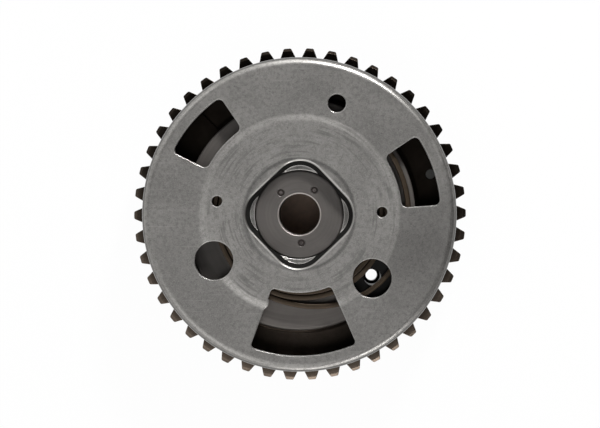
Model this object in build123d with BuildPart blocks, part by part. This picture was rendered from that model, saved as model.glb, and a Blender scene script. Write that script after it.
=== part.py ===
from build123d import *
import math
import os

os.makedirs("parts", exist_ok=True)

# Cam phaser: the vane-type drive that turns one camshaft ahead of or behind its timing chain.
# +Z runs forward along the cam axis, and the rear face stands on z = 0.
# Angles are in degrees, counted anticlockwise from +X as seen from the front.

# Chain wheel
chain_pitch = 9.525
tooth_count = 46
tooth_angle = 0.4           # middle of the first tooth
tip_rise = 0.21             # tooth tips outside the pitch circle
tooth_depth = 5.7
tooth_tip_width = 3.0
tooth_flank_angle = 23.0
tooth_foot_sink = 1.2       # foot of a tooth's outline, inside the root circle
tooth_tip_round = 0.8
tooth_bevel_length = 1.2
tooth_bevel_drop = 0.8
sprocket_width = 12.0
sprocket_setback = 1.0      # rear of the teeth in front of the joint with the rear plate
web_groove_inset = 2.4      # land left between a web groove and the wall or rim beside it
web_rear_groove = 4.0
web_front_groove = 1.4
web_flare = 2.5             # hollow flare where the web meets the chamber drum
web_pad_start = 134.0
web_pad_sweep = 44.0
timing_dimple_angle = 17.0
timing_dimple_inset = 6.7   # inside the root circle
timing_dimple_radius = 2.2
timing_dimple_depth = 0.5

# Housing: two plates with the chambered chain wheel between them
housing_radius = 48.3
housing_wall = 4.3
rear_plate_thickness = 7.0
chamber_depth = 19.0
front_plate_thickness = 7.0
plate_edge_chamfer = 0.5
chamber_corner_round = 1.0
lobe_angle = 25.0           # centre line of the first lobe
locating_hole_angle = 319.4
locating_hole_inset = 8.3   # inside the edge of the housing
locating_hole_radius = 2.45
locating_bore_radius = 3.6  # wider bore in front of the locating hole

# Housing bolts
bolt_angle = 19.0           # first bolt
bolt_radius = 3.0
bolt_inset = 2.0            # bolt circle inside the chamber wall
bolt_head_radius = 5.0
bolt_head_height = 3.5
bolt_head_recess = 0.3      # heads sit this far below the rear face
bolt_socket_across = 5.0
bolt_socket_depth = 2.2
bolt_thread_depth = 5.2     # length held in the front plate
bolt_thread_spare = 0.4     # hole past the end of the bolt
bolt_end_chamfer = 0.6
bolt_clearance = 0.3

# Dowel between rear plate and chain wheel
dowel_angle = 246.5
dowel_radius = 2.0
dowel_reach = 3.0           # into each of the two pieces

# Rotor
vane_count = 5
vane_height = 14.35         # vane tip outside the rotor's drum
rotor_journal_radius = 22.0
swing = 31.0                # full travel of the camshaft against the chain wheel
stop_gap = 0.3              # angle left between a vane and the lobe it stops against
vane_width = 12.0           # angle
lock_vane_width = 22.0      # angle, the vane that carries the lock pin
lock_vane_index = 1
vane_corner_chamfer = 1.2
cam_nose_radius = 12.5
cam_nose_depth = 8.0
cam_bolt_bore_radius = 8.5
cam_dowel_circle = 17.5
cam_dowel_radius = 2.55
cam_dowel_depth = 6.0
oil_port_radius = 1.25
oil_port_offset = 3.5       # angle between a port and the vane beside it

# Seal strips in the vane tips and the lobe tips, each pushed out by a leaf spring
seal_width = 2.0
seal_height = 2.6
seal_slot_depth = 3.4
seal_end_gap = 0.2
leaf_thickness = 0.25
leaf_span_share = 0.8       # part of the seal's length that the leaf spans
leaf_inset = 0.2            # each side of the leaf inside the seal's width

# Lock pin and what holds it
lock_pin_wall = 1.35        # between the pin and the seal slot outside it
lock_pin_radius = 3.5
lock_pin_length = 11.0
lock_nose_radius = 3.0
lock_nose_length = 3.0
lock_nose_chamfer = 0.3
lock_pin_pocket_radius = 2.4
lock_pin_pocket_depth = 7.0
lock_pin_lift = 0.15        # nose above the rotor's rear face when it is free
lock_seat_radius = 4.5
lock_seat_depth = 3.4
lock_cap_height = 2.5
lock_vent_radius = 0.8
lock_spring_wire = 0.5
lock_spring_turns = 5

# Hub: spring arbor, seat of the cover and seat of the cam bolt
arbor_inset = 17.9          # arbor inside the edge of the housing, the room for the spring
arbor_shoulder = 3.9        # arbor outside the hub's neck
cover_seat_rise = 1.0       # cover seat in front of the front plate
spigot_radius = 18.5
spigot_stand = 0.2          # bolt face in front of the cover's floor
spigot_round = 1.0
bore_round = 0.5
hub_pin_radius = 1.4
hub_pin_circle = 11.85
hub_pin_angles = (58.3, 130.3, 274.3)
hub_pin_recess = 0.15
hub_pin_mouth = 0.25
hub_pin_depth = 10.0

# Spiral spring
spring_wire = 2.1
spring_width = 5.5
spring_start_angle = 250.0
spring_pitch = 2.3
spring_turns = 2.44
coil_arcs = 18              # tangent arcs in one turn
spring_offset = 1.06        # the coils lie off centre by this much
spring_offset_angle = 10.0
spring_dent = 1.1           # the coils run closer to the axis near one angle
spring_dent_angle = 208.0
spring_dent_sweep = 50.0    # to each side
spring_seat_gap = 0.27      # start of the coil off the arbor
spring_lift_angle = 970.0   # along the coil, where the last turn leaves the others
spring_lift_sweep = 90.0
spring_edge_inset = 3.0     # last turn inside the edge of the front plate
spring_tang = 4.2
spring_post_radius = 2.0
spring_post_seat = 5.0
spring_post_chamfer = 0.6
spring_hook_sweep = 150.0

# Pressed cover, which is also the target wheel of the cam sensor
cover_thickness = 2.5
cover_overhang = 0.8        # cover outside the tooth roots
cover_skirt_gap = 1.5       # skirt in front of the teeth
cover_rim_round = 3.3
cover_inner_round = 0.8
cover_step_inner = 38.9
cover_step_outer = 41.9
cover_step_rise = 0.5
cover_step_round = 6.0
boss_radius = 23.4
boss_rise = 0.4
window_edge_break = 0.25

# Rounded-square well in the cover
well_angle = 43.5
well_wall = 2.3
well_foot_flat = 17.2       # across the floor, centre to flat
well_foot_corner = 20.5     # centre to corner
well_taper = 15.0           # angle of the walls
well_fold = 1.2

# Windows in the cover: first and last angle, inner radius, corner radius
window_rim_inset = 6.8      # windows inside the cover's edge
window_a = (4.0, 34.0, 42.5, 2.2)
window_b = (124.0, 153.7, 42.5, 2.4)
window_c = (249.7, 293.8, 32.3, 1.6)
nib_circle = 39.4
nib_radius = 3.2
nib_reach = 1.0             # nib into the window

# Round holes in the cover: angle, distance from the axis, radius
cover_holes = (
    (71.3, 48.5, 3.7),
    (170.8, 34.4, 2.15),
    (1.75, 34.2, 2.15),
    (208.35, 40.0, 8.0),
    (318.9, 40.0, 8.0),
)

# Fits
overlap = 1.0               # a shape that joins or cuts another starts this far inside it
running_clearance = 0.06
face_clearance = 0.1
tip_clearance = 0.25
seat_gap = 0.02
slot_gap = 0.1
lift_clearance = 0.4        # spring above the front plate
cover_clearance = 0.7       # cover above the spring

# Sizes that follow from those above
pitch_radius = chain_pitch / (2 * math.sin(math.pi / tooth_count))
tip_radius = pitch_radius + tip_rise
root_radius = tip_radius - tooth_depth
chamber_radius = housing_radius - housing_wall
vane_tip_radius = chamber_radius - tip_clearance
rotor_radius = vane_tip_radius - vane_height
lobe_tip_radius = rotor_radius + tip_clearance
arbor_radius = housing_radius - arbor_inset
hub_neck_radius = arbor_radius - arbor_shoulder
lock_pin_circle = vane_tip_radius - seal_slot_depth - lock_pin_wall - lock_pin_radius
locating_hole_circle = housing_radius - locating_hole_inset
bolt_circle = chamber_radius - bolt_inset
chamber_z = rear_plate_thickness
front_plate_z = chamber_z + chamber_depth
front_face_z = front_plate_z + front_plate_thickness
sprocket_z = chamber_z + sprocket_setback
sprocket_front_z = sprocket_z + sprocket_width
web_front_z = sprocket_front_z - web_front_groove
rotor_z = chamber_z + face_clearance
rotor_front_z = front_plate_z - face_clearance
spring_z = front_face_z + lift_clearance
spring_top_z = spring_z + spring_width
cover_under_z = spring_top_z + cover_clearance
cover_top_z = cover_under_z + cover_thickness
plateau_z = cover_top_z + cover_step_rise
lip_z = plateau_z + boss_rise
cover_seat_z = front_face_z + cover_seat_rise
cover_floor_z = cover_seat_z + well_wall
well_spread = (lip_z - cover_floor_z) * math.tan(math.radians(well_taper))
well_mouth_flat = well_foot_flat + well_spread
bolt_face_z = cover_floor_z + spigot_stand
spring_end_angle = spring_start_angle + 360 * spring_turns
cover_radius = root_radius + cover_overhang
window_outer_radius = cover_radius - window_rim_inset
sector = 360 / vane_count
lobe_half = (sector - vane_width - swing) / 2 - stop_gap
lobe_angles = [lobe_angle + sector * index for index in range(vane_count)]
bolt_angles = [bolt_angle + sector * index for index in range(vane_count)]
vane_widths = [vane_width] * vane_count
vane_widths[lock_vane_index] = lock_vane_width
# The vanes rest at the anticlockwise end of their travel. A wider one starts sooner.
vane_ends = [angle + sector - lobe_half - stop_gap for angle in lobe_angles]
vane_starts = [end - width for end, width in zip(vane_ends, vane_widths)]
vane_angles = [(start + end) / 2 for start, end in zip(vane_starts, vane_ends)]
lock_angle = vane_angles[lock_vane_index]
seal_length = chamber_depth - 2 * (face_clearance + seal_end_gap)


def polar(radius, angle):
    """Point at a distance from the cam axis, in the direction of an angle."""
    return (radius * math.cos(math.radians(angle)), radius * math.sin(math.radians(angle)))


def level(z):
    """Horizontal plane at a height."""
    return Plane.XY.offset(z)


def turned(angle, z):
    """Horizontal plane whose x direction points outward at an angle."""
    x_direction = (*polar(1, angle), 0)
    return Plane(origin=(0, 0, z), x_dir=x_direction, z_dir=(0, 0, 1))


def ring_sector(inner, outer, start, end, corner=0.0):
    """Piece of a flat ring between two radii and two angles."""
    with BuildSketch() as shape:
        with BuildLine():
            outside = CenterArc((0, 0), outer, start, end - start)
            inside = CenterArc((0, 0), inner, start, end - start)
            Line(outside @ 0, inside @ 0)
            Line(outside @ 1, inside @ 1)
        make_face()
        if corner > 0:
            fillet(shape.vertices(), corner)
    return shape.sketch


def save(piece, name):
    """Label a finished piece and write it."""
    piece.label = name
    export_step(piece, f"parts/{name}.step")


# Chain wheel with the oil chambers inside it, one sintered piece
def tooth_outline():
    """One tooth, pointing along +X, from inside the root circle to its tip."""
    foot_radius = root_radius - tooth_foot_sink
    foot_spread = (tip_radius - foot_radius) * math.tan(math.radians(tooth_flank_angle))
    tip_half = tooth_tip_width / 2
    with BuildSketch() as tooth:
        with BuildLine():
            Polyline(
                (foot_radius, -tip_half - foot_spread),
                (tip_radius, -tip_half),
                (tip_radius, tip_half),
                (foot_radius, tip_half + foot_spread),
                close=True,
            )
        make_face()
        fillet(tooth.vertices().group_by(Axis.X)[-1], tooth_tip_round)
    return tooth.sketch


def chamber_outline(index):
    """Chamber in which one vane swings. Its inner end lies inside the bore for the rotor."""
    start = vane_starts[index] - swing - stop_gap
    end = vane_ends[index] + stop_gap
    with BuildSketch() as chamber:
        add(ring_sector(lobe_tip_radius - overlap, chamber_radius, start, end))
        fillet(chamber.vertices().sort_by(SortBy.DISTANCE)[-2:], chamber_corner_round)
    return chamber.sketch


with BuildPart() as sprocket_housing:
    with BuildSketch(level(sprocket_z)):
        Circle(root_radius)
        with PolarLocations(0, tooth_count, start_angle=tooth_angle):
            add(tooth_outline())
    extrude(amount=sprocket_width)
    for bevel_z, drop in ((sprocket_front_z, -tooth_bevel_drop), (sprocket_z, tooth_bevel_drop)):
        with BuildSketch(Plane.XZ):
            with BuildLine():
                Polyline(
                    (tip_radius - tooth_bevel_length, bevel_z),
                    (tip_radius + tooth_bevel_length, bevel_z + 2 * drop),
                    (tip_radius + tooth_bevel_length, bevel_z),
                    close=True,
                )
            make_face()
        revolve(axis=Axis.Z, mode=Mode.SUBTRACT)
    # Weight-saving grooves in front of and behind the web
    groove_inner = housing_radius + web_groove_inset
    groove_outer = root_radius - web_groove_inset
    with BuildSketch(level(sprocket_z)):
        Circle(groove_outer)
        Circle(groove_inner, mode=Mode.SUBTRACT)
    extrude(amount=web_rear_groove, mode=Mode.SUBTRACT)
    with BuildSketch(level(web_front_z)):
        Circle(groove_outer)
        Circle(housing_radius, mode=Mode.SUBTRACT)
        add(
            ring_sector(housing_radius, groove_outer, web_pad_start, web_pad_start + web_pad_sweep),
            mode=Mode.SUBTRACT,
        )
    extrude(amount=web_front_groove, mode=Mode.SUBTRACT)
    # Chamber drum, flared out where it rises from the web
    with BuildSketch(level(chamber_z)):
        Circle(housing_radius)
    extrude(amount=chamber_depth)
    with BuildSketch(Plane.XZ):
        with BuildLine():
            top = (housing_radius, web_front_z + web_flare)
            rim = (housing_radius + web_flare, web_front_z)
            Polyline(top, (housing_radius - housing_wall / 2, web_front_z), rim)
            RadiusArc(top, rim, -web_flare)
        make_face()
    revolve(axis=Axis.Z)
    with BuildSketch(level(chamber_z)):
        Circle(lobe_tip_radius)
        for number in range(vane_count):
            add(chamber_outline(number))
    extrude(amount=chamber_depth, mode=Mode.SUBTRACT)
    for angle in lobe_angles:
        with BuildSketch(turned(angle, chamber_z)):
            with Locations((lobe_tip_radius, 0)):
                Rectangle(2 * seal_slot_depth, seal_width + 2 * slot_gap)
        extrude(amount=chamber_depth, mode=Mode.SUBTRACT)
    with BuildSketch(level(chamber_z)):
        with Locations([polar(bolt_circle, angle) for angle in bolt_angles]):
            Circle(bolt_radius + bolt_clearance)
        with Locations(polar(locating_hole_circle, locating_hole_angle)):
            Circle(locating_bore_radius)
    extrude(amount=chamber_depth, mode=Mode.SUBTRACT)
    with BuildSketch(level(chamber_z)):
        with Locations(polar(bolt_circle, dowel_angle)):
            Circle(dowel_radius + seat_gap)
    extrude(amount=dowel_reach, mode=Mode.SUBTRACT)
    # Timing dimple on the web
    with BuildSketch(level(web_front_z)):
        with Locations(polar(root_radius - timing_dimple_inset, timing_dimple_angle)):
            Circle(timing_dimple_radius)
    extrude(amount=-timing_dimple_depth, mode=Mode.SUBTRACT)
save(sprocket_housing.part, "sprocket_housing")


# Rear plate: bearing of the rotor, seats of the bolt heads and of the lock pin
with BuildPart() as rear_plate:
    with BuildSketch():
        Circle(housing_radius)
        Circle(rotor_journal_radius + running_clearance, mode=Mode.SUBTRACT)
        with Locations([polar(bolt_circle, angle) for angle in bolt_angles]):
            Circle(bolt_radius + bolt_clearance, mode=Mode.SUBTRACT)
        with Locations(polar(locating_hole_circle, locating_hole_angle)):
            Circle(locating_hole_radius, mode=Mode.SUBTRACT)
    extrude(amount=rear_plate_thickness)
    chamfer(rear_plate.faces().sort_by(Axis.Z)[0].outer_wire().edges(), plate_edge_chamfer)
    with BuildSketch():
        with Locations([polar(bolt_circle, angle) for angle in bolt_angles]):
            Circle(bolt_head_radius + slot_gap)
    extrude(amount=bolt_head_height + bolt_head_recess, mode=Mode.SUBTRACT)
    with BuildSketch(level(rear_plate_thickness)):
        with Locations(polar(bolt_circle, dowel_angle)):
            Circle(dowel_radius + seat_gap)
    extrude(amount=-dowel_reach, mode=Mode.SUBTRACT)
    with BuildSketch(level(rear_plate_thickness)):
        with Locations(polar(lock_pin_circle, lock_angle)):
            Circle(lock_seat_radius + seat_gap)
    extrude(amount=-lock_seat_depth, mode=Mode.SUBTRACT)
save(rear_plate.part, "rear_plate")


# Path of the spiral spring, which the post on the front plate follows
def close_coil_radius(angle):
    """Middle of the spring wire as long as the turns lie close together."""
    turns = (angle - spring_start_angle) / 360
    seated = arbor_radius + spring_seat_gap + spring_wire / 2
    drift = math.cos(math.radians(angle - spring_offset_angle))
    first_drift = math.cos(math.radians(spring_start_angle - spring_offset_angle))
    off_dent = (angle - spring_dent_angle + 180) % 360 - 180
    dent = (1 + math.cos(math.pi * min(abs(off_dent) / spring_dent_sweep, 1))) / 2
    return seated + spring_pitch * turns + spring_offset * (drift - first_drift) - spring_dent * dent


def coil_radius(angle):
    """Middle of the spring wire, at an angle that counts on through the turns."""
    lift = housing_radius - spring_edge_inset - close_coil_radius(spring_end_angle)
    share = min(max((angle - spring_lift_angle) / spring_lift_sweep, 0), 1)
    return close_coil_radius(angle) + lift * share * share * (3 - 2 * share)


hook_radius = spring_post_radius + slot_gap + spring_wire / 2
spring_post_circle = coil_radius(spring_end_angle) - hook_radius


# Front plate: closes the chambers and carries the spring post
with BuildPart() as front_plate:
    with BuildSketch(level(front_plate_z)):
        Circle(housing_radius)
        Circle(hub_neck_radius + running_clearance, mode=Mode.SUBTRACT)
        with Locations(polar(locating_hole_circle, locating_hole_angle)):
            Circle(locating_bore_radius, mode=Mode.SUBTRACT)
    extrude(amount=front_plate_thickness)
    chamfer(front_plate.faces().sort_by(Axis.Z)[-1].outer_wire().edges(), plate_edge_chamfer)
    with BuildSketch(level(front_plate_z)):
        with Locations([polar(bolt_circle, angle) for angle in bolt_angles]):
            Circle(bolt_radius + seat_gap)
    extrude(amount=bolt_thread_depth + bolt_thread_spare, mode=Mode.SUBTRACT)
    with BuildSketch(level(front_face_z)):
        with Locations(polar(spring_post_circle, spring_end_angle)):
            Circle(spring_post_radius + seat_gap)
    extrude(amount=-spring_post_seat, mode=Mode.SUBTRACT)
save(front_plate.part, "front_plate")


with BuildPart() as spring_post:
    with BuildSketch(level(front_face_z - spring_post_seat)):
        with Locations(polar(spring_post_circle, spring_end_angle)):
            Circle(spring_post_radius)
    extrude(amount=spring_post_seat + lift_clearance + spring_width)
    chamfer(spring_post.edges().sort_by(Axis.Z)[-1], spring_post_chamfer)
save(spring_post.part, "spring_post")


# Housing bolts
def housing_bolt(angle):
    """Low-head screw from the rear plate into the front plate."""
    shank_z = bolt_head_recess + bolt_head_height
    shank_length = front_plate_z + bolt_thread_depth - shank_z
    with BuildPart() as bolt:
        with BuildSketch(turned(angle, bolt_head_recess)):
            with Locations((bolt_circle, 0)):
                Circle(bolt_head_radius)
        extrude(amount=bolt_head_height)
        with BuildSketch(turned(angle, shank_z)):
            with Locations((bolt_circle, 0)):
                Circle(bolt_radius)
        extrude(amount=shank_length)
        chamfer(bolt.edges().sort_by(Axis.Z)[-1], bolt_end_chamfer)
        with BuildSketch(turned(angle, bolt_head_recess)):
            with Locations((bolt_circle, 0)):
                RegularPolygon(bolt_socket_across / 2, 6, major_radius=False)
        extrude(amount=bolt_socket_depth, mode=Mode.SUBTRACT)
    return bolt.part


for number, angle in enumerate(bolt_angles, start=1):
    save(housing_bolt(angle), f"housing_bolt_{number}")


with BuildPart() as housing_dowel:
    with BuildSketch(level(rear_plate_thickness - dowel_reach)):
        with Locations(polar(bolt_circle, dowel_angle)):
            Circle(dowel_radius)
    extrude(amount=2 * dowel_reach)
save(housing_dowel.part, "housing_dowel")


with BuildPart() as lock_pin_seat:
    with BuildSketch(level(rear_plate_thickness - lock_seat_depth)):
        with Locations(polar(lock_pin_circle, lock_angle)):
            Circle(lock_seat_radius)
            Circle(lock_nose_radius + tip_clearance, mode=Mode.SUBTRACT)
    extrude(amount=lock_seat_depth)
save(lock_pin_seat.part, "lock_pin_seat")


# Rotor: five vanes on a drum, with the seat of the camshaft behind
def vane_outline(index):
    """One vane, with its outer corners cut back."""
    with BuildSketch() as vane:
        add(ring_sector(rotor_radius - overlap, vane_tip_radius, vane_starts[index], vane_ends[index]))
        chamfer(vane.vertices().sort_by(SortBy.DISTANCE)[-2:], vane_corner_chamfer)
    return vane.sketch


with BuildPart() as rotor:
    with BuildSketch(level(rotor_z)):
        Circle(rotor_radius)
        for number in range(vane_count):
            add(vane_outline(number))
    extrude(amount=rotor_front_z - rotor_z)
    with BuildSketch():
        Circle(rotor_journal_radius)
    extrude(amount=rotor_z)
    with BuildSketch():
        Circle(cam_bolt_bore_radius)
    extrude(amount=rotor_front_z, mode=Mode.SUBTRACT)
    with BuildSketch():
        Circle(cam_nose_radius)
    extrude(amount=cam_nose_depth, mode=Mode.SUBTRACT)
    with BuildSketch(turned(lock_angle, 0)):
        with Locations((cam_dowel_circle, 0)):
            Circle(cam_dowel_radius)
    extrude(amount=cam_dowel_depth, mode=Mode.SUBTRACT)
    # Seal slots
    for angle in vane_angles:
        with BuildSketch(turned(angle, rotor_z)):
            with Locations((vane_tip_radius, 0)):
                Rectangle(2 * seal_slot_depth, seal_width + 2 * slot_gap)
        extrude(amount=rotor_front_z - rotor_z, mode=Mode.SUBTRACT)
    # Bore of the lock pin
    with BuildSketch(level(rotor_z)):
        with Locations(polar(lock_pin_circle, lock_angle)):
            Circle(lock_pin_radius + running_clearance)
    extrude(amount=rotor_front_z - rotor_z, mode=Mode.SUBTRACT)
    # Seats of the hub pins
    with BuildSketch(level(rotor_front_z)):
        with Locations([polar(hub_pin_circle, angle) for angle in hub_pin_angles]):
            Circle(hub_pin_radius + seat_gap)
    extrude(amount=-hub_pin_depth, mode=Mode.SUBTRACT)
    # Oil ports: one row feeds the near side of every vane, the other the far side
    port_levels = (rotor_z + chamber_depth / 3, rotor_z + 2 * chamber_depth / 3)
    for start, end in zip(vane_starts, vane_ends):
        for angle, port_z in zip((start - oil_port_offset, end + oil_port_offset), port_levels):
            port_plane = Plane(origin=(0, 0, port_z), x_dir=(0, 0, 1), z_dir=(*polar(1, angle), 0))
            with BuildSketch(port_plane):
                Circle(oil_port_radius)
            extrude(amount=rotor_radius + overlap, mode=Mode.SUBTRACT)
save(rotor.part, "rotor")


# Seal strips and their leaf springs
def seal_strip(angle, contact_radius, outward):
    """Strip that runs on the wall at contact_radius. outward is 1 for a vane, -1 for a lobe."""
    back_radius = contact_radius - outward * seal_height
    with BuildPart() as seal:
        with BuildSketch(turned(angle, rotor_z + seal_end_gap)):
            with Locations(((contact_radius + back_radius) / 2, 0)):
                Rectangle(seal_height, seal_width)
            if outward > 0:
                Circle(contact_radius, mode=Mode.INTERSECT)
            else:
                Circle(contact_radius, mode=Mode.SUBTRACT)
        extrude(amount=seal_length)
    return seal.part


def leaf_spring(angle, floor_radius, back_radius):
    """Bowed strip between the floor of a seal slot and the back of its seal."""
    middle_z = (rotor_z + rotor_front_z) / 2
    half_span = leaf_span_share * seal_length / 2
    outward = 1 if back_radius > floor_radius else -1
    foot = floor_radius + outward * slot_gap
    crown = back_radius - outward * slot_gap
    radial_plane = Plane(
        origin=(0, 0, middle_z),
        x_dir=(*polar(1, angle), 0),
        z_dir=(*polar(1, angle - 90), 0),
    )
    with BuildPart() as leaf:
        with BuildSketch(radial_plane):
            with BuildLine():
                inner = ThreePointArc(
                    (foot, -half_span),
                    (crown - outward * leaf_thickness, 0),
                    (foot, half_span),
                )
                outer = ThreePointArc(
                    (foot + outward * leaf_thickness, -half_span),
                    (crown, 0),
                    (foot + outward * leaf_thickness, half_span),
                )
                Line(inner @ 0, outer @ 0)
                Line(inner @ 1, outer @ 1)
            make_face()
        extrude(amount=seal_width / 2 - leaf_inset, both=True)
    return leaf.part


for number, angle in enumerate(vane_angles, start=1):
    contact = chamber_radius - slot_gap
    save(seal_strip(angle, contact, 1), f"vane_seal_{number}")
    floor = vane_tip_radius - seal_slot_depth
    save(leaf_spring(angle, floor, contact - seal_height), f"vane_seal_spring_{number}")

for number, angle in enumerate(lobe_angles, start=1):
    contact = rotor_radius + slot_gap
    save(seal_strip(angle, contact, -1), f"lobe_seal_{number}")
    floor = lobe_tip_radius + seal_slot_depth
    save(leaf_spring(angle, floor, contact + seal_height), f"lobe_seal_spring_{number}")


# Lock pin, its spring and the cap behind the spring
pin_z = rotor_z + lock_pin_lift
pin_pocket_floor_z = pin_z + lock_pin_length - lock_pin_pocket_depth
cap_z = rotor_front_z - lock_cap_height
pin_x, pin_y = polar(lock_pin_circle, lock_angle)

with BuildPart() as lock_pin:
    with BuildSketch(level(pin_z)):
        with Locations((pin_x, pin_y)):
            Circle(lock_nose_radius)
    extrude(amount=lock_nose_length)
    chamfer(lock_pin.edges().sort_by(Axis.Z)[0], lock_nose_chamfer)
    with BuildSketch(level(pin_z + lock_nose_length)):
        with Locations((pin_x, pin_y)):
            Circle(lock_pin_radius)
    extrude(amount=lock_pin_length - lock_nose_length)
    with BuildSketch(level(pin_pocket_floor_z)):
        with Locations((pin_x, pin_y)):
            Circle(lock_pin_pocket_radius)
    extrude(amount=lock_pin_pocket_depth, mode=Mode.SUBTRACT)
save(lock_pin.part, "lock_pin")


with BuildPart() as lock_spring_cap:
    with BuildSketch(level(cap_z)):
        with Locations((pin_x, pin_y)):
            Circle(lock_pin_radius + running_clearance - seat_gap)
            Circle(lock_vent_radius, mode=Mode.SUBTRACT)
    extrude(amount=lock_cap_height)
save(lock_spring_cap.part, "lock_spring_cap")


lock_coil_radius = lock_pin_pocket_radius - slot_gap - lock_spring_wire / 2
lock_coil_z = pin_pocket_floor_z + slot_gap + lock_spring_wire / 2
lock_coil_height = cap_z - slot_gap - lock_spring_wire / 2 - lock_coil_z
with BuildPart() as lock_spring:
    with BuildLine():
        coil = Helix(
            pitch=lock_coil_height / lock_spring_turns,
            height=lock_coil_height,
            radius=lock_coil_radius,
            center=(pin_x, pin_y, lock_coil_z),
        )
    with BuildSketch(Plane(origin=coil @ 0, z_dir=coil % 0)):
        RegularPolygon(lock_spring_wire / 2, 6)
    sweep(is_frenet=True)
save(lock_spring.part, "lock_spring")


# Hub
with BuildPart() as hub:
    # The pocket widens towards the front as the well in the cover does.
    pocket_rise = spring_top_z - cover_seat_z
    pocket_foot_radius = well_foot_corner + well_wall + slot_gap
    pocket_mouth_radius = pocket_foot_radius + pocket_rise * math.tan(math.radians(well_taper))
    with BuildSketch(Plane.XZ) as hub_section:
        with BuildLine():
            Polyline(
                (cam_bolt_bore_radius, rotor_front_z),
                (hub_neck_radius, rotor_front_z),
                (hub_neck_radius, front_face_z + lift_clearance / 2),
                (arbor_radius, front_face_z + lift_clearance / 2),
                (arbor_radius, spring_top_z),
                (pocket_mouth_radius, spring_top_z),
                (pocket_foot_radius, cover_seat_z),
                (spigot_radius, cover_seat_z),
                (spigot_radius, bolt_face_z),
                (cam_bolt_bore_radius, bolt_face_z),
                close=True,
            )
        make_face()
        for radius, rounding in ((spigot_radius, spigot_round), (cam_bolt_bore_radius, bore_round)):
            fillet(hub_section.vertices().sort_by_distance((radius, bolt_face_z))[0], rounding)
    revolve(axis=Axis.Z)
    # Slot that holds the inner end of the spring
    with BuildSketch(turned(spring_start_angle, spring_z - slot_gap)):
        with Locations((arbor_radius, 0)):
            Rectangle(2 * spring_tang, spring_wire + 2 * slot_gap)
    extrude(amount=spring_width + 2 * slot_gap, mode=Mode.SUBTRACT)
    with Locations([Location((*polar(hub_pin_circle, angle), bolt_face_z)) for angle in hub_pin_angles]):
        CounterSinkHole(hub_pin_radius + seat_gap, hub_pin_radius + hub_pin_mouth)
save(hub.part, "hub")


def hub_pin(angle):
    """Pin through the hub into the rotor, just below the bolt face."""
    foot_z = rotor_front_z - hub_pin_depth
    with BuildPart() as pin:
        with BuildSketch(level(foot_z)):
            with Locations(polar(hub_pin_circle, angle)):
                Circle(hub_pin_radius)
        extrude(amount=bolt_face_z - hub_pin_recess - foot_z)
    return pin.part


for number, angle in enumerate(hub_pin_angles, start=1):
    save(hub_pin(angle), f"hub_pin_{number}")


# Spiral spring: inner end in the arbor slot, outer end hooked round the post
with BuildPart() as bias_spring:
    coil_steps = math.ceil(spring_turns * coil_arcs)
    coil_step = (spring_end_angle - spring_start_angle) / coil_steps
    coil_angles = [spring_start_angle + coil_step * index for index in range(coil_steps + 1)]
    coil_points = [polar(coil_radius(angle), angle) for angle in coil_angles]
    # The first arc sets out towards the point of the coil one degree on.
    near_start = polar(coil_radius(spring_start_angle + 1), spring_start_angle + 1)
    post_x, post_y = polar(spring_post_circle, spring_end_angle)
    with BuildSketch(level(spring_z)) as coil_section:
        with BuildLine():
            direction = Vector(*near_start) - Vector(*coil_points[0])
            for here, there in zip(coil_points, coil_points[1:]):
                arc = TangentArc(here, there, tangent=direction)
                direction = arc % 1
            CenterArc((post_x, post_y), hook_radius, spring_end_angle, spring_hook_sweep)
        trace(line_width=spring_wire)
        with Locations(Location((0, 0, 0), (0, 0, spring_start_angle))):
            with Locations((coil_radius(spring_start_angle) + spring_wire / 2 - spring_tang / 2, 0)):
                Rectangle(spring_tang, spring_wire)
    extrude(amount=spring_width)
save(bias_spring.part, "bias_spring")


# Cover
def well_section(z, growth=0.0):
    """Rounded square at a height, as the foot of the well is, grown outward."""
    corner_round = (math.sqrt(2) * well_foot_flat - well_foot_corner) / (math.sqrt(2) - 1)
    across = 2 * (well_foot_flat + growth)
    with BuildSketch(level(z)) as section:
        RectangleRounded(across, across, corner_round + growth, rotation=well_angle)
    return section.sketch


def window_outline(start, end, inner, corner):
    """Window between two angles, out to the rim of the cover."""
    return ring_sector(inner, window_outer_radius, start, end, corner)


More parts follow.
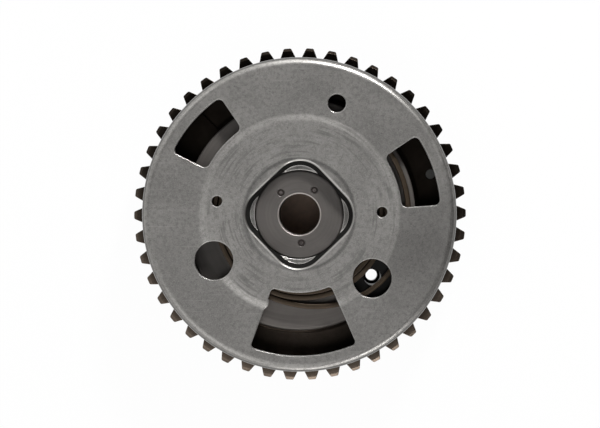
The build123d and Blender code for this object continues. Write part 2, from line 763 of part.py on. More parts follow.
with BuildPart() as target_cover:
    with BuildSketch(Plane.XZ) as pressed_section:
        with BuildLine():
            Polyline(
                (0, lip_z),
                (well_mouth_flat, lip_z),
                (boss_radius, plateau_z),
                (cover_step_inner, plateau_z),
                (cover_step_outer, cover_top_z),
                (cover_radius, cover_top_z),
                (cover_radius, sprocket_front_z + cover_skirt_gap),
                (cover_radius - cover_thickness, sprocket_front_z + cover_skirt_gap),
                (cover_radius - cover_thickness, cover_under_z),
                (cover_step_outer, cover_under_z),
                (cover_step_inner, plateau_z - cover_thickness),
                (0, plateau_z - cover_thickness),
                close=True,
            )
        make_face()
        rim_corner = pressed_section.vertices().sort_by_distance((cover_radius, cover_top_z))[0]
        fillet(rim_corner, cover_rim_round)
        inner_corner = pressed_section.vertices().sort_by_distance(
            (cover_radius - cover_thickness, cover_under_z)
        )[0]
        fillet(inner_corner, cover_inner_round)
        step_corners = [
            pressed_section.vertices().sort_by_distance(point)[0]
            for point in ((cover_step_inner, plateau_z), (cover_step_outer, cover_top_z))
        ]
        fillet(step_corners, cover_step_round)
    revolve(axis=Axis.Z)
    # Well: drawn down from the boss to the floor that sits on the hub
    add(well_section(cover_seat_z, well_wall))
    extrude(amount=plateau_z - cover_seat_z, taper=-well_taper)
    add(well_section(cover_floor_z))
    extrude(amount=lip_z - cover_floor_z, taper=-well_taper, mode=Mode.SUBTRACT)
    mouth = target_cover.edges(Select.LAST).filter_by(lambda edge: edge.center().Z > plateau_z)
    fillet(mouth, well_fold)
    # The bore for the hub's spigot is cut straight up, so it shaves the flats of the well.
    with BuildSketch(level(cover_seat_z)):
        Circle(spigot_radius + seat_gap)
    extrude(amount=lip_z - cover_seat_z, mode=Mode.SUBTRACT)
    # Windows and holes
    with BuildSketch(level(cover_under_z - overlap)):
        for window in (window_a, window_b, window_c):
            add(window_outline(*window))
        with Locations(Location((*polar(nib_circle, window_c[0]), 0), (0, 0, window_c[0]))):
            with Locations((0, nib_reach - nib_radius)):
                Circle(nib_radius, mode=Mode.SUBTRACT)
        for angle, distance, radius in cover_holes:
            with Locations(polar(distance, angle)):
                Circle(radius)
    extrude(amount=lip_z - cover_under_z + overlap, mode=Mode.SUBTRACT)
    front_edges = [
        edge
        for edge in target_cover.edges(Select.LAST)
        if min(corner.Z for corner in edge.vertices()) > cover_top_z - window_edge_break
    ]
    chamfer(front_edges, window_edge_break)
save(target_cover.part, "target_cover")
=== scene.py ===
import bpy
import math
from mathutils import Matrix, Vector


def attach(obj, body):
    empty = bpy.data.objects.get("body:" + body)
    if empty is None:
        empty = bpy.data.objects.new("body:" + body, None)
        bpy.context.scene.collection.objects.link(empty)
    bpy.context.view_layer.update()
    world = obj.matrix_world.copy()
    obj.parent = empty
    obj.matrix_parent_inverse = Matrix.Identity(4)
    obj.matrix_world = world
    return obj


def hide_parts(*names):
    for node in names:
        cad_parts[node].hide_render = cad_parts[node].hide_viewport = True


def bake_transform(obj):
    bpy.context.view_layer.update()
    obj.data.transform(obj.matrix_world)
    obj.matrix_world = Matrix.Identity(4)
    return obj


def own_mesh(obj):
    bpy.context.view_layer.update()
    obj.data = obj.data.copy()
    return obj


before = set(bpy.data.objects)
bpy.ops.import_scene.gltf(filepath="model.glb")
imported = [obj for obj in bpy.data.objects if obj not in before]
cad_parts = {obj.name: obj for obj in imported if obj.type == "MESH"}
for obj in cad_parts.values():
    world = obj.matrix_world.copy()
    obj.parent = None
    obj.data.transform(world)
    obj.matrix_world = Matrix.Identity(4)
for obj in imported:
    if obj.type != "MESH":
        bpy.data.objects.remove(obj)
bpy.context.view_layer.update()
mm = 0.001

# Camera
sensor_width = 36.0
tooth_plane = 14.0 * mm
view_width = 254.6 * mm     # seen across the picture at the height of the teeth
camera_distance = 1000.0 * mm
camera_lean_right = 0.7     # degrees off the cam axis
camera_lean_up = 0.5

# Stage
floor_drop = 0.05 * mm
floor_reach = 4.0           # metres from the cam axis to each side
floor_colour = (0.80, 0.80, 0.80, 1)
floor_glow = 0.97           # part of the floor's own white in what camera and metal see
pad_radius = 12.3 * mm      # pad under the bore, inside the socket for the cam nose
pad_rise = 0.3 * mm
pad_sides = 64

# Studio round the stage, seen in the metal
wall_light = 0.62
wall_dark = 0.14
zenith_dark = 0.04
dark_side = (0.85, 0.52, 0)     # towards the dark walls

# Places on the cover, most of them distances from the cam axis
boss_foot_shade_radius = 22.7 * mm     # painted shade in the crease at the foot of the boss
well_edge = 27.0 * mm       # painted highlight on the lip and painted shade on the walls of the well are inside this radius
well_fade = 30.0 * mm
step_highlight_radius = 40.2 * mm     # painted highlight on the edge of the step
middle_edge = 40.8 * mm     # raised middle, inside the step
middle_fade = 42.2 * mm
burnish_start = 61.0 * mm   # satin inside this radius
burnish_full = 64.0 * mm
rim_polish_and_highlight_start = 61.2 * mm       # lighter rim, partly burnished wear and partly painted highlight
rim_polish_and_highlight_full = 63.6 * mm
rim_shade_line = 64.6 * mm        # dark line of painted shade before the rim's outer edge
shade_patch_x = 52.0 * mm          # middle of the patch of painted shade
shade_patch_y = -14.0 * mm
shade_patch_reach = 34.0 * mm
lit_side_angle = 120.0        # painted light makes the cover lighter that way
lit_side_reach = 67.0 * mm
lit_side_change = 0.08        # how much lighter with painted light at that reach, and darker with painted shade at the other side

# Places on the chain wheel
window_light_x = 2.0 * mm         # middle of the pool of painted light on the web
window_light_y = -53.0 * mm
window_light_reach = 26.0 * mm
dimple_circle = 57.6 * mm
dimple_angle = 17.0
dimple_radius = 2.2 * mm
dimple_fade = 0.4 * mm
web_end = 64.0 * mm         # under the cover's rim
teeth_start = 67.0 * mm
# Teeth: painted shadow at the foot and painted highlight at the tip
tooth_shadow_edge = 66.8 * mm
tooth_highlight_edge = 69.4 * mm
teeth_shade_angle = 82.0            # painted shade darkens the teeth that way
teeth_shade_start = -70.0 * mm
teeth_shade_full = 50.0 * mm

# Spiral spring in mm and degrees, as the CAD has it
housing_radius = 48.3
arbor_radius = 30.4
spring_wire = 2.1
spring_width = 5.5
spring_base = 33.4          # lower edge of the coils
spring_start_angle = 250.0
spring_pitch = 2.3
spring_turns = 2.44
spring_offset = 1.06
spring_offset_angle = 10.0
spring_dent = 1.1
spring_dent_angle = 208.0
spring_dent_sweep = 50.0
spring_seat_gap = 0.27
spring_lift_angle = 970.0
spring_lift_sweep = 90.0
spring_edge_inset = 3.0
spring_tang = 4.2
spring_hook_radius = 3.15
spring_hook_sweep = 150.0
spring_edge_round = 0.35

# How finely the spiral spring is drawn
tang_steps = 7
coil_steps = 372
hook_steps = 24
edge_steps = 3
side_marks = 2.5            # how close the draw marks lie on the wire's sides, against its top


def polar(reach, degrees):
    """Point (x, y) at a distance from the cam axis and an angle about it."""
    turn = math.radians(degrees)
    return reach * math.cos(turn), reach * math.sin(turn)


def add(name, data):
    """New object in the scene."""
    made = bpy.data.objects.new(name, data)
    bpy.context.scene.collection.objects.link(made)
    return made


def dress(piece, finish):
    """Gives a piece one material."""
    piece.data.materials.clear()
    piece.data.materials.append(finish)


# Colours
def grey(level):
    """Neutral colour."""
    return (level, level, level, 1)


def shade(colour, factor):
    """A colour made darker or lighter."""
    return (*(channel * factor for channel in colour[:3]), 1)


def from_srgb(red, green, blue):
    """Colour from display values of 0 to 255."""
    def linear(value):
        value = value / 255
        return value / 12.92 if value <= 0.04045 else ((value + 0.055) / 1.055) ** 2.4
    return (linear(red), linear(green), linear(blue), 1)


# Shader nodes
def node(tree, kind, inputs=None, **settings):
    """Adds a shader node, sets its settings, and feeds its inputs with values or sockets."""
    made = tree.nodes.new(kind)
    for name, value in settings.items():
        setattr(made, name, value)
    for key, value in (inputs or {}).items():
        if isinstance(value, bpy.types.NodeSocket):
            tree.links.new(value, made.inputs[key])
        else:
            made.inputs[key].default_value = value
    return made


def maths(tree, operation, *values):
    """Result of one math operation."""
    return node(tree, "ShaderNodeMath", dict(enumerate(values)), operation=operation).outputs[0]


def product(tree, first, *others):
    """Numbers multiplied together."""
    for other in others:
        first = maths(tree, "MULTIPLY", first, other)
    return first


def dot_product(tree, first, second):
    """How far one vector reaches along another."""
    made = node(tree, "ShaderNodeVectorMath", {0: first, 1: second}, operation="DOT_PRODUCT")
    return made.outputs["Value"]


def ramp(tree, value, low, high, start=0.0, end=1.0):
    """Value mapped smoothly from low..high to start..end."""
    made = node(
        tree,
        "ShaderNodeMapRange",
        {"Value": value, "From Min": low, "From Max": high, "To Min": start, "To Max": end},
        interpolation_type="SMOOTHSTEP",
    )
    return made.outputs["Result"]


def band(tree, value, middle, full, fade, inside, outside=1.0):
    """The inside number up to full away from a middle value, then fading to the outside number."""
    away = maths(tree, "ABSOLUTE", maths(tree, "SUBTRACT", value, middle))
    return ramp(tree, away, full, fade, inside, outside)


def mix_colour(tree, share, first, second):
    """Two colours mixed by a share."""
    return node(tree, "ShaderNodeMix", {0: share, 6: first, 7: second}, data_type="RGBA").outputs[2]


def tint(tree, colour, other, pattern, low, high, share=1.0):
    """A colour that turns to another, up to a share, as a pattern goes from low to high."""
    return mix_colour(tree, ramp(tree, pattern, low, high, 0.0, share), colour, other)


def shade_socket(tree, colour, factor):
    """A colour socket times a number or a number socket."""
    made = node(tree, "ShaderNodeVectorMath", {0: colour, "Scale": factor}, operation="SCALE")
    return made.outputs[0]


def coordinates(tree, kind):
    """Texture coordinates of one kind, such as Object or Generated."""
    return node(tree, "ShaderNodeTexCoord").outputs[kind]


def stretched(tree, vector, angle, along, across):
    """Coordinates turned by an angle and stretched into streaks."""
    made = node(
        tree,
        "ShaderNodeMapping",
        {"Vector": vector, "Rotation": (0, 0, math.radians(angle)), "Scale": (along, across, across)},
    )
    return made.outputs[0]


def parts_of(tree, vector):
    """Sockets X, Y and Z of a vector."""
    return node(tree, "ShaderNodeSeparateXYZ", {"Vector": vector}).outputs


def axis_distance(tree, place):
    """Distance from the cam axis."""
    parts = parts_of(tree, place)
    squares = [product(tree, parts[letter], parts[letter]) for letter in "XY"]
    return maths(tree, "SQRT", maths(tree, "ADD", *squares))


def distance_from(tree, place, x, y):
    """Distance from the upright line through x and y."""
    away = node(tree, "ShaderNodeVectorMath", {0: place, 1: (x, y, 0)}, operation="SUBTRACT")
    return axis_distance(tree, away.outputs[0])


def noise(tree, vector, scale, detail=3.0, roughness=0.55):
    """Cloudy pattern between 0 and 1."""
    made = node(
        tree,
        "ShaderNodeTexNoise",
        {"Vector": vector, "Scale": scale, "Detail": detail, "Roughness": roughness},
    )
    return made.outputs["Fac"]


def rings(tree, place, scale, turns_scale, detail=2.0):
    """Fine concentric marks about the cam axis."""
    parts = parts_of(tree, place)
    angle = maths(tree, "ARCTAN2", parts["Y"], parts["X"])
    unrolled = node(
        tree,
        "ShaderNodeCombineXYZ",
        {
            "X": product(tree, axis_distance(tree, place), scale),
            "Y": product(tree, maths(tree, "COSINE", angle), turns_scale),
            "Z": product(tree, maths(tree, "SINE", angle), turns_scale),
        },
    )
    return noise(tree, unrolled.outputs[0], scale=1.0, detail=detail)


def surface_normal(tree):
    """Normal of the surface as it is."""
    return node(tree, "ShaderNodeNewGeometry").outputs["Normal"]


def rounded_normal(tree, radius):
    """Normal rounded over sharp edges."""
    return node(tree, "ShaderNodeBevel", {"Radius": radius}, samples=8).outputs[0]


def bump(tree, height, strength, distance, normal):
    """Normal with a bump on it."""
    made = node(
        tree,
        "ShaderNodeBump",
        {"Height": height, "Strength": strength, "Distance": distance, "Normal": normal},
    )
    return made.outputs[0]


def wear(tree, colour, bare, rounded, strength):
    """A colour rubbed bare on sharp edges, where the rounded normal leaves the surface's own."""
    edges = ramp(tree, dot_product(tree, rounded, surface_normal(tree)), 0.97, 0.80)
    return mix_colour(tree, product(tree, edges, strength), colour, bare)


# Materials
def start_material(name):
    """Empty material and its node tree."""
    made = bpy.data.materials.new(name)
    made.use_nodes = True
    made.node_tree.nodes.clear()
    return made, made.node_tree


def end_material(made, colour, roughness, metallic, normal):
    """Gives a material its shader, fed with values or sockets."""
    inputs = {"Base Color": colour, "Roughness": roughness, "Metallic": metallic, "Normal": normal}
    shader = node(made.node_tree, "ShaderNodeBsdfPrincipled", inputs)
    node(made.node_tree, "ShaderNodeOutputMaterial", {"Surface": shader.outputs[0]})
    return made


# Pressed cover: tumbled sheet steel with blotches, ring scuffs, specks and fine scratches
def pressed_steel():
    made, tree = start_material("pressed_steel")
    base = from_srgb(137, 135, 132)
    place = coordinates(tree, "Object")
    distance = axis_distance(tree, place)
    blotches = noise(tree, place, scale=55.0, detail=5.0, roughness=0.6)
    mottle = noise(tree, place, scale=620.0, detail=4.0, roughness=0.65)
    grain = noise(tree, place, scale=3200.0, detail=2.0, roughness=0.6)
    colour = tint(tree, shade(base, 0.88), shade(base, 1.12), blotches, 0.3, 0.7)
    colour = tint(tree, colour, shade(base, 0.66), mottle, 0.40, 0.66, share=0.75)
    colour = tint(tree, colour, shade(base, 1.50), grain, 0.46, 0.70, share=0.65)
    # Raised middle, lighter than the rest, with ring scuffs in patches
    middle = ramp(tree, distance, middle_fade, middle_edge)
    colour = mix_colour(tree, middle, shade_socket(tree, colour, 0.84), colour)
    arcs = ramp(tree, rings(tree, place, scale=900.0, turns_scale=2.2, detail=3.0), 0.50, 0.62)
    patches = ramp(tree, noise(tree, place, scale=70.0, detail=2.0), 0.36, 0.58)
    colour = mix_colour(tree, product(tree, arcs, middle, patches, 0.5), colour, shade(base, 0.45))
    # Dark specks
    specks = noise(tree, place, scale=1100.0, detail=1.0)
    colour = tint(tree, colour, shade(base, 0.35), specks, 0.70, 0.78, share=0.6)
    # Scratches in three directions, each with its angle and its rarity
    scratches = 0.0
    for slant, rarity in ((38.0, 0.735), (64.0, 0.745), (-20.0, 0.755)):
        slanted = stretched(tree, place, slant, along=22.0, across=1500.0)
        streaks = noise(tree, slanted, scale=1.0, detail=1.0)
        scratches = maths(tree, "MAXIMUM", scratches, ramp(tree, streaks, rarity, rarity + 0.03))
    colour = mix_colour(tree, product(tree, scratches, 0.35), colour, shade(base, 1.45))
    # Edges rubbed bare, and made lighter still by a painted highlight along them
    rounded = rounded_normal(tree, 0.9 * mm)
    colour = wear(tree, colour, shade(base, 2.8), rounded, strength=0.8)
    # Rim lighter, partly burnished wear and partly painted highlight, with a dark line of painted
    # shade before its outer edge
    colour = shade_socket(tree, colour, ramp(tree, distance, rim_polish_and_highlight_start, rim_polish_and_highlight_full, 1.0, 1.5))
    line = band(tree, distance, rim_shade_line, full=0.15 * mm, fade=0.55 * mm, inside=0.42)
    colour = shade_socket(tree, colour, line)
    # Painted highlight on the edge of the step, and painted shade in the crease at the foot of the
    # boss
    step = band(tree, distance, step_highlight_radius, full=0.6 * mm, fade=2.2 * mm, inside=1.22)
    colour = shade_socket(tree, colour, step)
    boss_foot_shade = band(tree, distance, boss_foot_shade_radius, full=0.2 * mm, fade=1.3 * mm, inside=0.55)
    colour = shade_socket(tree, colour, boss_foot_shade)
    # Painted shade at the lower right, outside the raised middle
    lower_right_shade = ramp(tree, distance_from(tree, place, shade_patch_x, shade_patch_y), 0.0, shade_patch_reach, 0.78, 1.0)
    colour = mix_colour(tree, middle, shade_socket(tree, colour, lower_right_shade), colour)
    # Painted highlight on the lip of the well, and painted shade on its steep walls
    upright = parts_of(tree, surface_normal(tree))["Z"]
    in_well = ramp(tree, distance, well_fade, well_edge)
    lip_highlight = product(tree, ramp(tree, upright, 1.0, 0.94), in_well)
    walls = product(tree, ramp(tree, upright, 0.80, 0.45), in_well)
    colour = mix_colour(tree, lip_highlight, colour, shade(base, 1.6))
    colour = mix_colour(tree, walls, colour, shade(base, 0.12))
    # Painted light, slightly lighter towards the upper left, and painted shade towards the lower right
    lit_side_way = dot_product(tree, place, (*polar(1, lit_side_angle), 0))
    lit_side_shade = maths(tree, "MULTIPLY_ADD", lit_side_way, lit_side_change / lit_side_reach, 1.0)
    colour = shade_socket(tree, colour, lit_side_shade)
    rough = maths(tree, "MULTIPLY_ADD", mottle, 0.06, ramp(tree, blotches, 0.3, 0.7, 0.29, 0.36))
    rough = maths(tree, "MAXIMUM", rough, product(tree, walls, 0.8))
    # Satin on top, burnished at the rim and in the well
    metallic = ramp(tree, distance, burnish_start, burnish_full, 0.5, 0.95)
    metallic = maths(tree, "MAXIMUM", metallic, maths(tree, "MAXIMUM", lip_highlight, walls))
    height = maths(tree, "MULTIPLY_ADD", mottle, 0.6, product(tree, grain, 0.4))
    normal = bump(tree, height, strength=0.5, distance=0.04 * mm, normal=rounded)
    return end_material(made, colour, rough, metallic, normal)


# Sintered steel: dark and oily under the cover, with painted shade there as well, bare brown-grey at
# the teeth, open grained
def sintered_steel():
    made, tree = start_material("sintered_steel")
    # The web's dark colour is partly oil and partly painted shade under the cover
    oily_and_shaded, bare, dimple_grey = from_srgb(40, 35, 31), from_srgb(84, 75, 67), from_srgb(100, 100, 98)
    place = coordinates(tree, "Object")
    distance = axis_distance(tree, place)
    clouds = noise(tree, place, scale=120.0, detail=4.0)
    grain = noise(tree, place, scale=2600.0, detail=3.0, roughness=0.7)
    # Web, with a pool of painted light below the large window, where light falls in through it
    web = tint(tree, shade(oily_and_shaded, 0.75), shade(oily_and_shaded, 1.15), clouds, 0.3, 0.7)
    rubbed = ramp(tree, distance_from(tree, place, window_light_x, window_light_y), 0.0, window_light_reach, 2.6, 1.0)
    web = shade_socket(tree, web, rubbed)
    # Bare timing dimple
    off_dimple = distance_from(tree, place, *polar(dimple_circle, dimple_angle))
    web = tint(tree, web, dimple_grey, off_dimple, dimple_radius, dimple_radius - dimple_fade)
    # Teeth with painted shadow at the foot and painted highlight towards the tips, and painted shade
    # towards the top, painted light towards the bottom
    teeth = tint(tree, shade(bare, 0.80), shade(bare, 1.15), clouds, 0.3, 0.7)
    teeth = shade_socket(tree, teeth, ramp(tree, distance, tooth_shadow_edge, tooth_highlight_edge, 0.75, 1.35))
    teeth_shade_way = dot_product(tree, place, (*polar(1, teeth_shade_angle), 0))
    outside = ramp(tree, distance, web_end, teeth_start)
    colour = mix_colour(tree, outside, web, teeth)
    teeth_shaded = shade_socket(tree, colour, ramp(tree, teeth_shade_way, teeth_shade_start, teeth_shade_full, 1.45, 0.15))
    colour = mix_colour(tree, outside, colour, teeth_shaded)
    colour = tint(tree, colour, shade(oily_and_shaded, 0.8), grain, 0.5, 0.75, share=0.5)
    rounded = rounded_normal(tree, 0.35 * mm)
    colour = wear(tree, colour, shade(bare, 1.8), rounded, strength=product(tree, outside, 0.55))
    rough = ramp(tree, clouds, 0.3, 0.7, 0.30, 0.38)
    normal = bump(tree, grain, strength=0.25, distance=0.03 * mm, normal=rounded)
    return end_material(made, colour, rough, 1.0, normal)


# Turned steel: concentric tool marks
def turned_steel(name, base, ring_scale, roughness, metallic, bore_highlight_ring=0.0, shade_spots=()):
    made, tree = start_material(name)
    place = coordinates(tree, "Object")
    clouds = noise(tree, place, scale=110.0, detail=4.0)
    marks = rings(tree, place, ring_scale, turns_scale=0.5)
    grain = noise(tree, place, scale=2400.0, detail=2.0)
    colour = tint(tree, shade(base, 0.90), shade(base, 1.08), clouds, 0.3, 0.7)
    colour = tint(tree, colour, shade(base, 0.72), marks, 0.35, 0.7, share=0.35)
    rounded = rounded_normal(tree, 0.3 * mm)
    colour = wear(tree, colour, shade(base, 1.6), rounded, strength=0.5)
    # Painted shade on the plate under openings in the cover
    for x, y, reach, darkness in shade_spots:
        away = distance_from(tree, place, x, y)
        colour = tint(tree, colour, shade(base, 0.03), away, reach + 3.0 * mm, reach, darkness)
    if bore_highlight_ring:
        # Painted highlight on the edge of the bore
        off_axis = axis_distance(tree, place)
        ring = band(tree, off_axis, bore_highlight_ring, 0.15 * mm, 0.45 * mm, inside=0.8, outside=0.0)
        colour = mix_colour(tree, ring, colour, shade(base, 3.4))
    rough = ramp(tree, marks, 0.3, 0.7, roughness - 0.05, roughness + 0.07)
    height = maths(tree, "MULTIPLY_ADD", marks, 0.6, product(tree, grain, 0.4))
    normal = bump(tree, height, strength=0.3, distance=0.02 * mm, normal=rounded)
    return end_material(made, colour, rough, metallic, normal)


# Fine steel for pins, bolts and small springs
def plain_steel(name, base, roughness):
    made, tree = start_material(name)
    place = coordinates(tree, "Object")
    clouds = noise(tree, place, scale=300.0, detail=3.0)
    grain = noise(tree, place, scale=2600.0, detail=2.0)
    colour = tint(tree, shade(base, 0.82), shade(base, 1.12), clouds, 0.3, 0.7)
    rounded = rounded_normal(tree, 0.2 * mm)
    colour = wear(tree, colour, shade(base, 1.7), rounded, strength=0.5)
    rough = ramp(tree, clouds, 0.3, 0.7, roughness - 0.05, roughness + 0.06)
    normal = bump(tree, grain, strength=0.25, distance=0.02 * mm, normal=rounded)
    return end_material(made, colour, rough, 1.0, normal)


# Heads of the hub's pins: dark seam round a grey middle
def pin_head_steel():
    made, tree = start_material("dark_pin_steel")
    seam, middle = from_srgb(48, 42, 40), from_srgb(104, 97, 95)
    clouds = noise(tree, coordinates(tree, "Object"), scale=1500.0, detail=2.0)
    # Generated coordinates run from 0 to 1 across the pin
    off_middle = distance_from(tree, coordinates(tree, "Generated"), 0.5, 0.5)
    spot = ramp(tree, off_middle, 0.30, 0.18)
    spot = product(tree, spot, ramp(tree, clouds, 0.35, 0.55, 0.3, 1.0))
    rough = ramp(tree, clouds, 0.3, 0.7, 0.38, 0.50)
    rounded = rounded_normal(tree, 0.15 * mm)
    normal = bump(tree, clouds, strength=0.3, distance=0.03 * mm, normal=rounded)
    return end_material(made, mix_colour(tree, spot, seam, middle), rough, 0.6, normal)


# Spring wire: tan temper colour with draw marks along the coil
def coil_steel():
    made, tree = start_material("spring_steel")
    base = from_srgb(74, 62, 49)
    along_wire = node(tree, "ShaderNodeUVMap").outputs[0]
    along_wire = stretched(tree, along_wire, angle=0.0, along=0.02, across=5.0)
    drawn = noise(tree, along_wire, scale=1.0, detail=3.0)
    clouds = noise(tree, coordinates(tree, "Object"), scale=160.0, detail=3.0)
    colour = tint(tree, shade(base, 0.55), shade(base, 1.15), drawn, 0.35, 0.65)
    colour = tint(tree, colour, shade(base, 0.6), clouds, 0.45, 0.7, share=0.4)
    rounded = rounded_normal(tree, 0.4 * mm)
    colour = wear(tree, colour, shade(base, 2.4), rounded, strength=0.7)
    rough = ramp(tree, drawn, 0.3, 0.7, 0.34, 0.48)
    normal = bump(tree, drawn, strength=0.3, distance=0.03 * mm, normal=rounded)
    return end_material(made, colour, rough, 0.6, normal)


# Black seal plastic
def seal_plastic():
    made, tree = start_material("seal_plastic")
    base = from_srgb(52, 48, 44)
    clouds = noise(tree, coordinates(tree, "Object"), scale=500.0, detail=3.0)
    colour = tint(tree, shade(base, 0.8), shade(base, 1.2), clouds, 0.3, 0.7)
    rough = ramp(tree, clouds, 0.3, 0.7, 0.42, 0.55)
    normal = bump(tree, clouds, strength=0.2, distance=0.02 * mm, normal=surface_normal(tree))
    return end_material(made, colour, rough, 0.0, normal)


cover_finish = pressed_steel()
sinter_finish = sintered_steel()
plate_finish = turned_steel(
    "plate_steel",
    from_srgb(116, 111, 107),
    ring_scale=700.0,
    roughness=0.40,
    metallic=0.5,
    shade_spots=(
        # Painted shade under the cover's openings, each with middle x and y, reach and darkness: left
        # hole, right hole, upper left window
        (-35.0 * mm, -19.3 * mm, 10.0 * mm, 0.55),
        (30.3 * mm, -26.3 * mm, 10.0 * mm, 1.0),
        (-38.2 * mm, 27.7 * mm, 16.0 * mm, 0.35),
    ),
)
rotor_finish = turned_steel(
    "rotor_steel",
    from_srgb(120, 113, 107),
    ring_scale=500.0,
    roughness=0.42,
    metallic=0.6,
)
hub_finish = turned_steel(
    "machined_steel",
    from_srgb(102, 98, 95),
    ring_scale=1400.0,
    roughness=0.36,
    metallic=0.5,
    bore_highlight_ring=8.75 * mm,
)
bolt_finish = plain_steel("bolt_steel", from_srgb(92, 88, 84), roughness=0.40)
pin_finish = plain_steel("pin_steel", from_srgb(150, 146, 140), roughness=0.38)
hub_pin_finish = pin_head_steel()
wire_finish = plain_steel("small_spring_steel", from_srgb(140, 130, 116), roughness=0.35)
coil_finish = coil_steel()
seal_finish = seal_plastic()

# Finish of each piece, by its name without the number
finishes = {
    "target_cover": cover_finish,
    "sprocket_housing": sinter_finish,
    "front_plate": plate_finish,
    "rear_plate": plate_finish,
    "rotor": rotor_finish,
    "hub": hub_finish,
    "hub_pin": hub_pin_finish,
    "lock_pin": pin_finish,
    "lock_pin_seat": pin_finish,
    "lock_spring_cap": pin_finish,
    "lock_spring": wire_finish,
    "spring_post": pin_finish,
    "housing_dowel": pin_finish,
    "housing_bolt": bolt_finish,
    "vane_seal": seal_finish,
    "lobe_seal": seal_finish,
    "vane_seal_spring": wire_finish,
    "lobe_seal_spring": wire_finish,
    "bias_spring": coil_finish,
}

for name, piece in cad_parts.items():
    dress(piece, finishes[name.rstrip("0123456789").rstrip("_")])


# Spiral spring: one strip of rounded wire, with each point's share of the winding that comes from the
# rotor
spring_end_angle = spring_start_angle + 360 * spring_turns


def close_coil_radius(angle):
    """Middle of the wire in mm as long as the turns lie close together."""
    turns = (angle - spring_start_angle) / 360
    seated = arbor_radius + spring_seat_gap + spring_wire / 2
    drift = math.cos(math.radians(angle - spring_offset_angle))
    first_drift = math.cos(math.radians(spring_start_angle - spring_offset_angle))
    off_dent = (angle - spring_dent_angle + 180) % 360 - 180
    dent = (1 + math.cos(math.pi * min(abs(off_dent) / spring_dent_sweep, 1))) / 2
    return seated + spring_pitch * turns + spring_offset * (drift - first_drift) - spring_dent * dent


def coil_radius(angle):
    """Middle of the wire in mm, at an angle that counts on through the turns."""
    lift = housing_radius - spring_edge_inset - close_coil_radius(spring_end_angle)
    share = min(max((angle - spring_lift_angle) / spring_lift_sweep, 0), 1)
    return close_coil_radius(angle) + lift * share * share * (3 - 2 * share)


def spring_path():
    """Points along the wire in mm, each with its share of the winding that comes from the rotor."""
    path = []
    # Tang, from the hub out to the first turn
    first = coil_radius(spring_start_angle)
    for step in range(tang_steps):
        reach = first - (spring_tang - spring_wire / 2) * (1 - step / tang_steps)
        path.append((*polar(reach, spring_start_angle), 1.0))
    # Turns
    for step in range(coil_steps + 1):
        angle = spring_start_angle + (spring_end_angle - spring_start_angle) * step / coil_steps
        path.append((*polar(coil_radius(angle), angle), 1 - step / coil_steps))
    # Hook round the post
    post_x, post_y = polar(coil_radius(spring_end_angle) - spring_hook_radius, spring_end_angle)
    for step in range(1, hook_steps + 1):
        angle = spring_end_angle + spring_hook_sweep * step / hook_steps
        x, y = polar(spring_hook_radius, angle)
        path.append((post_x + x, post_y + y, 0.0))
    return path


def wire_section():
    """Rounded rectangle across the wire: (sideways, up) in mm."""
    side = spring_wire / 2 - spring_edge_round
    top = spring_width / 2 - spring_edge_round
    middles = ((side, top), (-side, top), (-side, -top), (side, -top))
    points = []
    for corner, (middle_x, middle_y) in enumerate(middles):
        for step in range(edge_steps + 1):
            x, y = polar(spring_edge_round, 90 * corner + 90 * step / edge_steps)
            points.append((middle_x + x, middle_y + y))
    return points


def make_spring():
    """Sweeps the section along the path, and gives the piece and each point's share of the winding."""
    path, section = spring_path(), wire_section()
    middle = spring_base + spring_width / 2
    points, places_on_wire, winding = [], [], []
    length = 0.0
    for index, (x, y, share) in enumerate(path):
        before = path[max(index - 1, 0)]
        after = path[min(index + 1, len(path) - 1)]
        length += math.hypot(x - before[0], y - before[1])
        along_x, along_y = after[0] - before[0], after[1] - before[1]
        size = math.hypot(along_x, along_y)
        side_x, side_y = along_y / size, -along_x / size
        for across, up in section:
            points.append(((x + side_x * across) * mm, (y + side_y * across) * mm, (middle + up) * mm))
            places_on_wire.append((length, across + side_marks * up))
            winding.append(share)
    count = len(section)
    faces = []
    for ring in range(len(path) - 1):
        for number in range(count):
            beside = (number + 1) % count
            faces.append((
                ring * count + number,
                (ring + 1) * count + number,
                (ring + 1) * count + beside,
                ring * count + beside,
            ))
    faces.append(tuple(range(count)))
    faces.append(tuple(reversed(range(len(points) - count, len(points)))))
    mesh = bpy.data.meshes.new("bias_spring_coil")
    mesh.from_pydata(points, [], faces)
    layer = mesh.uv_layers.new(name="along_wire")
    for loop in mesh.loops:
        layer.data[loop.index].uv = places_on_wire[loop.vertex_index]
    mesh.validate()
    mesh.shade_smooth()
    return add("bias_spring_coil", mesh), winding


spring, winding = make_spring()
dress(spring, coil_finish)
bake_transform(spring)
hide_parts("bias_spring")


# Lock spring: its own copy of the mesh, carried by the rotor
lock_spring = add("lock_spring_coil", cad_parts["lock_spring"].data.copy())
dress(lock_spring, wire_finish)
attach(lock_spring, "rotor")
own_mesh(lock_spring)
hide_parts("lock_spring")


# Floor: matte in the light of the lamps, white to the camera and in the metal
def floor_material():
    made, tree = start_material("floor")
    matte = node(tree, "ShaderNodeBsdfDiffuse", {"Color": floor_colour})
    glow = node(tree, "ShaderNodeEmission", {"Color": grey(1), "Strength": 1.0})
    ray = node(tree, "ShaderNodeLightPath")
    seen = maths(tree, "ADD", ray.outputs["Is Camera Ray"], ray.outputs["Is Glossy Ray"])
    seen = maths(tree, "MINIMUM", maths(tree, "ADD", seen, ray.outputs["Is Transmission Ray"]), 1.0)
    share = product(tree, seen, floor_glow)
    both = node(tree, "ShaderNodeMixShader", {0: share, 1: matte.outputs[0], 2: glow.outputs[0]})
    node(tree, "ShaderNodeOutputMaterial", {"Surface": both.outputs[0]})
    return made


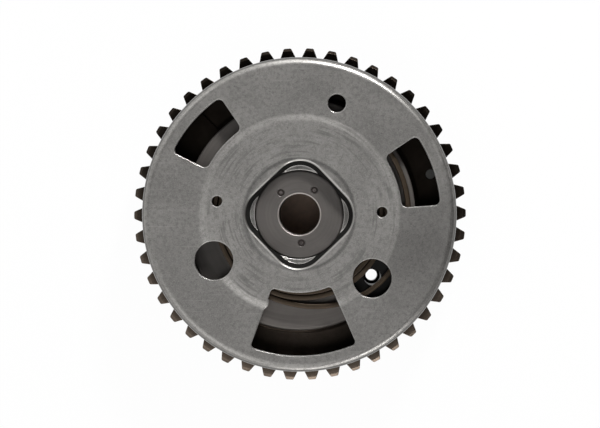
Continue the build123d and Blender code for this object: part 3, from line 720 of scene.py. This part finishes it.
# Pale brown pad that closes the bore below
def pad_material():
    made, tree = start_material("dark_pad")
    base = from_srgb(196, 172, 156)
    clouds = noise(tree, coordinates(tree, "Object"), scale=400.0, detail=2.0)
    colour = mix_colour(tree, clouds, shade(base, 0.8), shade(base, 1.2))
    return end_material(made, colour, 0.9, 0.0, surface_normal(tree))


def flat_piece(name, outline, height):
    """Flat polygon at a height."""
    mesh = bpy.data.meshes.new(name)
    mesh.from_pydata([(x, y, height) for x, y in outline], [], [tuple(range(len(outline)))])
    piece = add(name, mesh)
    return piece


corners = [(x * floor_reach, y * floor_reach) for x, y in ((-1, -1), (1, -1), (1, 1), (-1, 1))]
floor = flat_piece("floor", corners, -floor_drop)
dress(floor, floor_material())
circle = [polar(pad_radius, 360 * step / pad_sides) for step in range(pad_sides)]
pad = flat_piece("pad", circle, pad_rise)
dress(pad, pad_material())


# Lamps: where each stands seen from above, how high, how large and how strong
def lamp(name, azimuth, elevation, distance, size, power):
    light = bpy.data.lights.new(name, "AREA")
    light.shape = "DISK"
    light.size = size
    light.energy = power
    made = add(name, light)
    rise = math.radians(elevation)
    made.location = (*polar(distance * math.cos(rise), azimuth), distance * math.sin(rise))
    made.rotation_mode = "QUATERNION"
    made.rotation_quaternion = made.location.to_track_quat("Z", "Y")


lamp("softbox_lower_left", azimuth=240, elevation=52, distance=3.0, size=2.2, power=18.5)
lamp("softbox_top", azimuth=258, elevation=74, distance=3.0, size=1.2, power=5.5)
lamp("key_upper_right", azimuth=70, elevation=38, distance=1.0, size=0.18, power=9.2)
lamp("fill_upper_left", azimuth=135, elevation=38, distance=1.0, size=0.50, power=0.8)
lamp("kicker_lower_right", azimuth=297, elevation=27, distance=1.0, size=0.30, power=2.0)
lamp("kicker_below", azimuth=272, elevation=13, distance=1.0, size=0.30, power=1.2)
lamp("kicker_above", azimuth=95, elevation=20, distance=1.0, size=0.40, power=1.2)

# Studio: light walls to one side, dark walls to the other, and a dark zenith
world = bpy.data.worlds.new("studio")
world.use_nodes = True
bpy.context.scene.world = world
tree = world.node_tree
tree.nodes.clear()
direction = coordinates(tree, "Generated")
upward = parts_of(tree, direction)["Z"]
sideways = dot_product(tree, direction, dark_side)
walls = tint(tree, grey(wall_light), grey(wall_dark), sideways, -0.15, 0.65)
sky = tint(tree, walls, grey(zenith_dark), upward, 0.55, 0.88)
background = node(tree, "ShaderNodeBackground", {"Color": sky, "Strength": 1.0})
node(tree, "ShaderNodeOutputWorld", {"Surface": background.outputs[0]})

# Camera
lens = bpy.data.cameras.new("camera")
lens.sensor_width = sensor_width
lens.lens = sensor_width * camera_distance / view_width
camera = add("camera", lens)
camera.rotation_mode = "QUATERNION"
lean_x = math.tan(math.radians(camera_lean_right))
lean_y = math.tan(math.radians(camera_lean_up))
camera.location = (camera_distance * lean_x, camera_distance * lean_y, tooth_plane + camera_distance)
back = Vector((lean_x, lean_y, 1)).normalized()
right = Vector((0, 1, 0)).cross(back).normalized()
axes = Matrix((right, back.cross(right), back)).transposed()
camera.rotation_quaternion = axes.to_quaternion()
bpy.context.scene.camera = camera
bpy.context.scene.view_settings.view_transform = "Standard"
